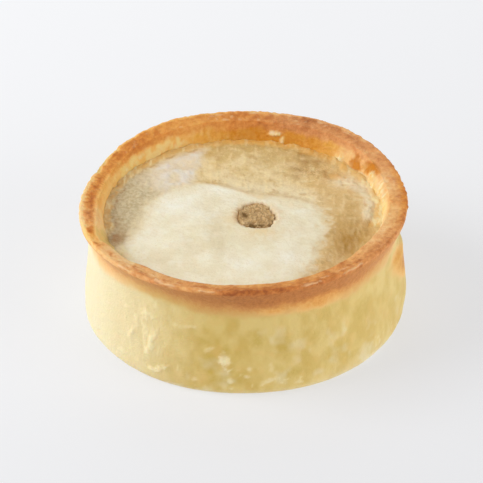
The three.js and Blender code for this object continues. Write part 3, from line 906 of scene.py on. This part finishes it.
# How much of the lid's edge is darkened where it meets the wall, at angles round the pie: brown specks of
# baking and painted shade in the crevice
SEAM = (
    (0, 0), (40, 0.1), (60, 0.5), (105, 0.4), (125, 0.8), (192, 1), (206, 0.4), (230, 0.2),
    (330, 0.1),
)
# Where the lid's edge is torn and curls up most: angle, half length, share
CURLED = ((18, 22, 1),)


def from_path(points, x, y):
    """How far each place is from a line through points, with places on the line's right below zero."""
    best = np.full(x.shape, np.inf)
    side = np.ones(x.shape)
    for (ax, ay), (bx, by) in zip(points, points[1:]):
        dx, dy = bx - ax, by - ay
        along = np.clip(((x - ax) * dx + (y - ay) * dy) / (dx * dx + dy * dy), 0, 1)
        away = np.hypot(x - ax - along * dx, y - ay - along * dy)
        side = np.where(away < best, np.sign(dx * (y - ay) - dy * (x - ax)), side)
        best = np.minimum(best, away)
    return best * side


def lid_rows():
    """The lid's smooth surface as rings: on top or not, share of the way down the lip, x, y, z."""
    turn = np.linspace(0, 2 * math.pi, LID_COLUMNS, endpoint=False)
    hole = hole_radius(turn)
    edge = inner_radius(turn, LID_EDGE_HEIGHT + LID_CURL) + LID_SINK

    def plan(share):
        x = mix(HOLE_X + hole * np.cos(turn), edge * np.cos(turn), share)
        y = mix(HOLE_Y + hole * np.sin(turn), edge * np.sin(turn), share)
        return x, y

    rows = []
    for share in LID_UNDER:
        x, y = plan(share)
        near_edge = smooth(np.hypot(x, y), SEAT_RADIUS - LID_THICKENS, SEAT_RADIUS)
        rows.append((0, 0, x, y, dome_height(x, y) - mix(LID_THICK, LID_EDGE_THICK, near_edge)))
    x, y = plan(1)
    for share in np.linspace(*LID_EDGE_SHARES, LID_EDGE_RINGS):
        rows.append((0, 0, x, y, lid_height(x, y) - LID_EDGE_THICK * (1 - share)))
    for share in np.linspace(1, LIP_SHARE, LID_TOP_RINGS):
        x, y = plan(share)
        rows.append((1, 0, x, y, lid_height(x, y)))
    for share in np.linspace(0, 1, LIP_RINGS):
        angle = share * math.pi / 2
        x, y = plan(LIP_SHARE * (1 - math.sin(angle)))
        rows.append((1, share, x, y, lid_height(x, y) - LIP_DROP * (1 - math.cos(angle))))
    return turn, rows


def dress_lid():
    turn, rows = lid_rows()
    on_top, lip = (np.array([row[k] for row in rows])[:, None] + 0 * turn for k in (0, 1))
    x, y, z = (np.array([row[k] for row in rows]) for k in (2, 3, 4))
    grid = np.stack([x, y, z], axis=-1)
    flat = np.stack([x, y, 0 * x + LID_EDGE_HEIGHT], axis=-1)
    reach, angle = np.hypot(x, y), np.arctan2(y, x)
    from_hole = np.hypot(x - HOLE_X, y - HOLE_Y) - HOLE_RADIUS

    broad, medium, fine = fbm(flat, 7, 71), fbm(flat, 2.4, 73), fbm(flat, 0.9, 79)
    wobble = 0.9 * medium + 0.5 * fine
    brushed = fbm(flat * np.array([1, 0.3, 1]) + 0.3 * medium[..., None], 0.9, 113)

    # The floury part: a sharp edge along the crease, and soft ones left of it and at the sides
    behind = y - along_line(CREASE, x)
    left, right = along_line(FLOUR_LEFT, y), along_line(FLOUR_RIGHT, y)
    soft = mix(mix(3.4, 1.6, smooth(x, -16, -12)), 3.2, smooth(x, -2, 10))
    flour = fall((behind + 1.1 * wobble) / soft, -1, 0.5)
    flour = flour * smooth(x - left + 2.4 * wobble, -4, 4) * fall(hill(SHADED_LID_CORNER, x, y), 0.2, 0.7)
    flour = flour * fall(x - right + 3.2 * wobble + 2 * brushed, -3.6, 3.2)
    bare = 1 - flour
    grey, peach, bright = (
        sum(hill(item, x + wobble, y - wobble) for item in items) * (0.85 + 0.6 * medium + 0.3 * brushed)
        for items in (GREY_FLOUR, PEACH_FLOUR, BRIGHT_FLOUR)
    )

    # The damp, frosted, warm and oily parts round it, and painted shade at its rear near the wall
    damp = fall(x + 0.55 * y + 14 + 3 * wobble, -9, 6) * bare
    frost_edge = fall(x + 0.15 * (13 - y) + 14.2 + 1.6 * wobble, -1.2, 1.2)
    frost = smooth(x + 2 * wobble - 0.9 * np.clip(18 - y, 0, 9), -38, -18)
    frost = frost * frost_edge * smooth(y + wobble, 3, 12)
    frost = frost * fall(reach + 2 * wobble, 33.5, 36.5) * bare * (0.85 + 0.6 * medium)
    warm = smooth(x + 2 * medium, 6, 24) * bare
    olive = hill(OLIVE, x, y) * bare * smooth(reach + 2 * wobble, 20, 27)
    stains = sum(hill(item, x + 1.2 * wobble, y - 1.2 * wobble) for item in STAINS) * (0.9 + 0.8 * medium)
    # The crumbly part has real relief; its dark specks are painted shadows between the crumbs
    crumbly = hill(CRUMBLY_PART, x, y) * bare
    pale = bare * hump((behind - 3.5) / 6) * smooth(x, -12, 0) * fall(x, 18, 25) * (1 - 0.5 * medium)
    shaded_rear = bare * smooth(y + 2 * wobble, 23, 35) * smooth(x + wobble, -13, -9)

    # Browning along the edge, with painted shade in the crevice where it meets the wall and in the corner at
    # the front left, and the buttery place
    seam, corner_shade = round_turn(SEAM, angle), hill(SHADED_LID_CORNER, x + wobble, y - wobble)
    browned = 0.7 * hump((reach + 1.2 * medium - 35.6) / 0.6) * seam * smooth(fine + 0.5 * medium, -0.2, 0.3)
    browned = np.maximum(browned, corner_shade * (0.75 + 0.5 * medium + 0.4 * fine))
    golden_edge = smooth(reach + 0.8 * medium + 0.6 * fine, 35.6, 37) * seam * fall(corner_shade, 0, 0.5)
    golden_edge = golden_edge * (0.75 + 0.5 * fine + 0.3 * brushed)
    soaked = smooth(reach + 1.6 * medium + 0.6 * fine, 35, 38) * round_turn(AMBER, angle)
    soaked = np.maximum(soaked, hill(BUTTERY, x + wobble, y - wobble))

    # The torn patch, and the gap between it and the wall
    off_patch = from_path(TORN_PATCH, x + 1.2 * wobble, y + 1.2 * wobble)
    patch = hump(off_patch / (2.4 + 2.4 * smooth(y, 8, 15)))
    patch = patch * smooth(fine + 0.5 * brushed + 0.3 * medium, -1.1, -0.1)
    scrap = hill(TORN_SCRAP, x + wobble, y - wobble)
    gap = smooth(off_patch, 0.4, 1.4) * fall(off_patch, 3.6, 5) * smooth(x, 20, 26)
    gap = gap * smooth(y, -10, -3) * fall(y, 14, 19)

    # The hole's frayed edge, wider on its left
    left_of_hole = smooth(HOLE_X - x - 0.6 * (y - HOLE_Y), -1, 4)
    fray = fall(from_hole + 1.2 * wobble, 0, 2.4) * mix(0.5, 1, left_of_hole)
    lip_brown = smooth(lip + 0.25 * medium, 0.2, 0.8)

    # Relief: soft where floury, rough elsewhere, and creased
    # The crease line: a slight dip in the relief, and a painted shade along it
    shaded_crease = smooth(behind + 0.35 * wobble, -0.4, 0.3) * fall(behind, 1.2, 6)
    shaded_crease = shaded_crease * smooth(x, -14, -10) * fall(x, 10, 20)
    rough = 0.2 * broad + 0.2 * medium + 0.1 * fine
    relief = flour * (0.12 * broad + 0.12 * medium + 0.06 * fine) + bare * rough
    relief = relief + crumbly * (0.5 * medium + 0.25 * fine) + bare * 0.1 * brushed
    on_right = humps_round(CURLED, angle, SEAT_RADIUS)
    curl = smooth(reach, 35.4, 38.3) * (0.35 + 0.45 * on_right + 0.5 * medium + 0.4 * broad + 0.2 * fine)
    curl = np.clip(curl, 0, LID_CURL)
    cream_edge = on_right * smooth(reach + 1.2 * medium, 35.2, 37.4)
    near_hole = smooth(from_hole, -0.8, 1.2)
    shapes = 0.3 * patch + 0.5 * scrap - 0.3 * gap - 0.05 * shaded_crease + 0.15 * frost
    creamy = most(gap, cream_edge, golden_edge, scrap)
    grid[..., 2] += on_top * (relief * near_hole + curl + shapes)

    return make_piece("baked_lid", grid, lid_material(), (
        ("ground", (flour, damp, frost)), ("marks", (olive, stains, browned)),
        ("tints_and_crease_shade", (patch, peach, shaded_crease)), ("hole", (fray, lip_brown, creamy)),
        ("grain", (0.5 + 0.7 * brushed, warm, crumbly)), ("more", (grey, soaked, 0.5 + 0.8 * medium)),
        ("powder", (bright, pale, shaded_rear)),
    ), loop=True)


def lid_material():
    s = Shader("baked lid")
    flour, damp, frost = s.masks("ground")
    # browned carries browning and painted shade along the lid's edge and in its front left corner
    olive, stains, browned = s.masks("marks")
    patch, peach, shaded_crease = s.masks("tints_and_crease_shade")
    fray, lip, creamy = s.masks("hole")
    brushed, warm, crumbly = s.masks("grain")
    grey, soaked, uneven = s.masks("more")
    bright, pale, shaded_rear = s.masks("powder")
    grain, speck, cloud, blotch = s.noise(1.2, 4), s.noise(0.5, 2), s.noise(6, 3), s.noise(3.2, 3)
    tan = s.coats(
        (224, 194, 134),
        (s.span(cloud, 0.35, 0.65), (240, 216, 166)),
        (s.times(warm, 0.75), (226, 186, 122)),
        # Painted shade at the rear near the wall
        (s.times(shaded_rear, 0.75), (204, 170, 100)),
        (s.times(pale, 0.8), (244, 228, 190)),
        (s.span(blotch, 0.5, 0.68, 0, 0.45), (204, 166, 100)),
        (s.span(uneven, 0.62, 0.95, 0, 0.45), (196, 156, 96)),
        (s.span(uneven, 0.05, 0.38, 0.45, 0), (246, 224, 174)),
        (s.times(s.span(brushed, 0.5, 0.9), 0.4), (252, 230, 178)),
        # Dark specks in the crumbly part: painted shadows between the crumbs
        (s.times(crumbly, s.span(speck, 0.5, 0.64, 0, 0.5)), (166, 126, 66)),
        (s.span(speck, 0.32, 0.42, 0.3, 0), (252, 234, 184)),
        (s.times(olive, s.span(brushed, 0.2, 0.7, 1, 0.55)), (188, 140, 56)),
    )
    wet = s.coats(
        (198, 176, 134),
        (s.span(grain, 0.3, 0.66), (220, 204, 166)),
        (s.span(speck, 0.57, 0.67, 0, 0.3), (152, 130, 86)),
        (s.times(s.span(brushed, 0.55, 0.9), 0.4), (236, 222, 180)),
    )
    powder = s.coats(
        (241, 229, 197),
        (s.span(cloud, 0.38, 0.62), (248, 239, 212)),
        (s.times(bright, 0.85), (255, 251, 236)),
        (s.times(grey, 0.8), (223, 207, 168)),
        (s.times(peach, 0.8), (238, 211, 158)),
        (s.span(speck, 0.55, 0.68, 0, 0.3), (228, 206, 160)),
        (s.span(uneven, 0.55, 0.95, 0, 0.35), (252, 248, 230)),
    )
    streaked = s.coats((238, 188, 104), (s.span(brushed, 0.4, 0.75), (252, 230, 172)))
    color = s.coats(
        tan,
        (damp, wet),
        (s.times(frost, s.span(uneven, 0.2, 0.7, 0.75, 1)), (236, 226, 210)),
        (s.times(stains, 0.8), (168, 124, 60)),
        (s.times(soaked, 0.8), (226, 166, 74)),
        # Browning and painted shade along the lid's edge, and painted shade in the front left corner
        (s.times(browned, 0.8), (168, 108, 44)),
        (flour, powder),
        (s.times(creamy, 0.85), streaked),
        (s.times(patch, 0.8), (250, 236, 202)),
        # Painted shade along the crease
        (s.times(shaded_crease, 0.1), (206, 172, 122)),
        (s.times(fray, s.span(grain, 0.35, 0.6, 0.3, 0.75)), (226, 190, 138)),
        (s.times(lip, 0.8), (206, 168, 118)),
    )
    roughness = s.span(flour, 0, 1, 0.55, 0.85)
    s.bump(((grain, 0.2), (speck, 0.1), (s.noise(0.22, 2), 0.04)))
    return s.finish(color, roughness, subsurface=0.2, reach_mm=1, gloss=0.25)


# ---- The mince ----

MOUND_RINGS = 72
MOUND_MIDDLE = 0.02     # the last ring's share of the hole's radius
UNDER_LID_RING = 24     # radius of a ring that carries the dome below the lid


def filling_rows():
    """The filling's smooth surface as rings of x, y, z, with the mound in the hole last."""
    turn = np.linspace(0, 2 * math.pi, FILLING_COLUMNS, endpoint=False)
    wall = CAVITY_RADIUS - GAP
    floor = FLOOR_THICK + GAP

    def under_lid(x, y):
        return dome_height(x, y) - LID_EDGE_THICK - GAP

    rows = []
    for radius, z in (
        (wall - CAVITY_ROUND, floor), (wall, floor + CAVITY_ROUND), (wall, None), (UNDER_LID_RING, None),
    ):
        x, y = radius * np.cos(turn), radius * np.sin(turn)
        rows.append((x, y, under_lid(x, y) if z is None else z + 0 * x))
    hole = hole_radius(turn) - HOLE_GAP
    x, y = HOLE_X + hole * np.cos(turn), HOLE_Y + hole * np.sin(turn)
    rows.append((x, y, under_lid(x, y)))
    for share in np.linspace(1, MOUND_MIDDLE, MOUND_RINGS):
        x, y = HOLE_X + hole * np.cos(turn) * share, HOLE_Y + hole * np.sin(turn) * share
        rows.append((x, y, lid_height(x, y) - FILLING_SUNK))
    return rows


def dress_filling():
    rows = filling_rows()
    grid = np.array([[*row] for row in rows]).transpose(0, 2, 1)
    mound = (np.arange(len(rows)) >= len(rows) - MOUND_RINGS)[:, None]
    bent = grid + 0.4 * np.stack([noise(grid, 0.9, 107 + k) for k in range(3)], axis=-1)
    grains, small = lumps(bent, 0.9, 83), lumps(bent, 0.45, 89)
    x, y = grid[..., 0] - HOLE_X, grid[..., 1] - HOLE_Y
    height = 0.25 - 0.45 * grains + 0.25 * (0.4 - small) + 0.3 * fbm(grid, 2.4, 97)
    grid[..., 2] += mound * height
    # Painted shade round the mound's edge at the front right, in the recess under the hole's rim, and in a
    # spot at its left
    edge_shade = smooth(np.hypot(x, y), 3.2, 5.2) * smooth(0.5 * x - y, 0.5, 4)
    edge_shade = edge_shade * smooth(noise(grid, 0.9, 103) + noise(grid, 0.45, 105), -0.6, 0.6)
    spot_shade = 1.3 * hump((x + 3.5 + 0.3 * (y - 0.4)) / 1.1, (y - 0.4) / 2.4)
    # Painted shade in the pits between the lumps, and painted highlight on their tips
    shaded_pits = smooth(grains + 0.5 * small + 0.4 * fbm(grid, 2.2, 101), 0.6, 1)
    lit_tips = smooth(0.45 - small + 0.4 * noise(grid, 1.2, 109), 0.1, 0.4)
    return make_piece("cooked_mince", grid, mince_material(), (
        ("grain", (shaded_pits, lit_tips, np.maximum(edge_shade, spot_shade))),
    ))


def mince_material():
    s = Shader("cooked mince")
    # Painted shade in the pits and round the edge, painted highlight on the tips
    shaded_pits, lit_tips, shade = s.masks("grain")
    tone, crumb = s.noise(1.3, 3), s.noise(0.7, 3)
    color = s.coats(
        (198, 160, 106),
        (s.span(tone, 0.3, 0.7), (222, 188, 138)),
        (s.times(lit_tips, 0.55), (244, 220, 174)),
        (s.times(shaded_pits, 0.45), (150, 114, 64)),
        (s.span(crumb, 0.52, 0.64, 0, 0.45), (146, 108, 58)),
        (s.times(shade, 0.95), (112, 80, 34)),
    )
    s.bump(((s.noise(0.5, 3), 0.12), (s.noise(0.18, 2), 0.05)))
    return s.finish(color, 0.6, subsurface=0.15, reach_mm=0.8, gloss=0.25)


# ---- Floor, light and camera ----

CAMERA_DISTANCE = 0.8
CAMERA_ELEVATION = math.radians(34.08)
CAMERA_LENS = 214.4
CAMERA_SENSOR = 36
CAMERA_NEAR = 0.01
CAMERA_TARGET = Vector((0, 0, 0.017))
AIM_RIGHT = -0.00046    # how far the middle of the picture lies to the right of the target
AIM_UP = 0.00292        # and above it

# Lights: name, place, size, power, colour
LIGHTS = (
    ("key", (-1, -0.1, 0.72), 0.9, 11.8, (1, 0.99, 0.97)),
    ("fill", (1, -0.5, 0.35), 0.8, 6.8, (1, 0.98, 0.96)),
    ("back", (0, 0.9, 0.8), 0.8, 1.5, (1, 1, 1)),
)
LIGHTS_AIM = Vector((0, 0, 0.02))
WORLD_STRENGTH = 0.34

# The floor glows, a painted light that thins the pie's shadow on it, and the glow grows dimmer from the back
# left to the front right, a painted fall-off of the light
FLOOR_HALF = 2
FLOOR_SLOPE = (-0.24, 0.37, 0)
FLOOR_SLOPE_ENDS = (-0.15, 0.15)
FLOOR_GLOW_DIM = (0.48, 0.482, 0.485, 1)
FLOOR_GLOW_BRIGHT = (0.655, 0.66, 0.668, 1)


def facing(place, target):
    """The turn that points a camera or a light at a place at a target."""
    return (target - place).to_track_quat("-Z", "Y").to_euler()


def add_camera():
    back = Vector((0, -math.cos(CAMERA_ELEVATION), math.sin(CAMERA_ELEVATION)))
    up = Vector((0, math.sin(CAMERA_ELEVATION), math.cos(CAMERA_ELEVATION)))
    place = CAMERA_TARGET + back * CAMERA_DISTANCE
    data = bpy.data.cameras.new("camera")
    data.lens = CAMERA_LENS
    data.sensor_width = CAMERA_SENSOR
    data.clip_start = CAMERA_NEAR
    camera = add_object("camera", data)
    camera.location = place
    camera.rotation_euler = facing(place, CAMERA_TARGET + Vector((AIM_RIGHT, 0, 0)) + up * AIM_UP)
    bpy.context.scene.camera = camera


def add_light(name, place, size, power, color):
    data = bpy.data.lights.new(name, "AREA")
    data.shape = "SQUARE"
    data.size = size
    data.energy = power
    data.color = color
    light = add_object(name, data)
    light.location = place
    light.rotation_euler = facing(Vector(place), LIGHTS_AIM)


def floor_material():
    s = Shader("pale floor")
    s.finish(linear(150, 151, 155), 0.7, subsurface=0, reach_mm=1, gloss=0.2)
    slope = s.node("VectorMath")
    slope.operation = "DOT_PRODUCT"
    s.fill(slope, {0: s.place, 1: FLOOR_SLOPE})
    away = s.span(slope.outputs["Value"], *FLOOR_SLOPE_ENDS)
    # The floor glows: painted light that thins the pie's shadow, dimmer toward the front right as a painted
    # fall-off
    s.fill(s.surface, {"Emission Color": s.mix(away, FLOOR_GLOW_DIM, FLOOR_GLOW_BRIGHT), "Emission Strength": 1})
    return s.material


def add_floor():
    half = FLOOR_HALF
    corners = [(-half, -half, 0), (half, -half, 0), (half, half, 0), (-half, half, 0)]
    mesh = bpy.data.meshes.new("floor")
    mesh.from_pydata(corners, [], [(0, 1, 2, 3)])
    mesh.materials.append(floor_material())
    floor = add_object("floor", mesh)


def add_studio():
    world = bpy.data.worlds.new("studio")
    world.use_nodes = True
    world.node_tree.nodes["Background"].inputs["Color"].default_value = (1, 1, 1, 1)
    world.node_tree.nodes["Background"].inputs["Strength"].default_value = WORLD_STRENGTH
    bpy.context.scene.world = world
    for light in LIGHTS:
        add_light(*light)
    add_floor()
    bpy.context.scene.view_settings.view_transform = "Standard"


# ---- The whole ----

add_camera()
add_studio()
for piece, node, slot in (
    (dress_case(), "pastry_case", "baked_case"),
    (dress_lid(), "pastry_lid", "baked_lid"),
    (dress_filling(), "mince_filling", "cooked_mince"),
):
    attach(piece, "root")
    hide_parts(node)

bpy.context.view_layer.update()
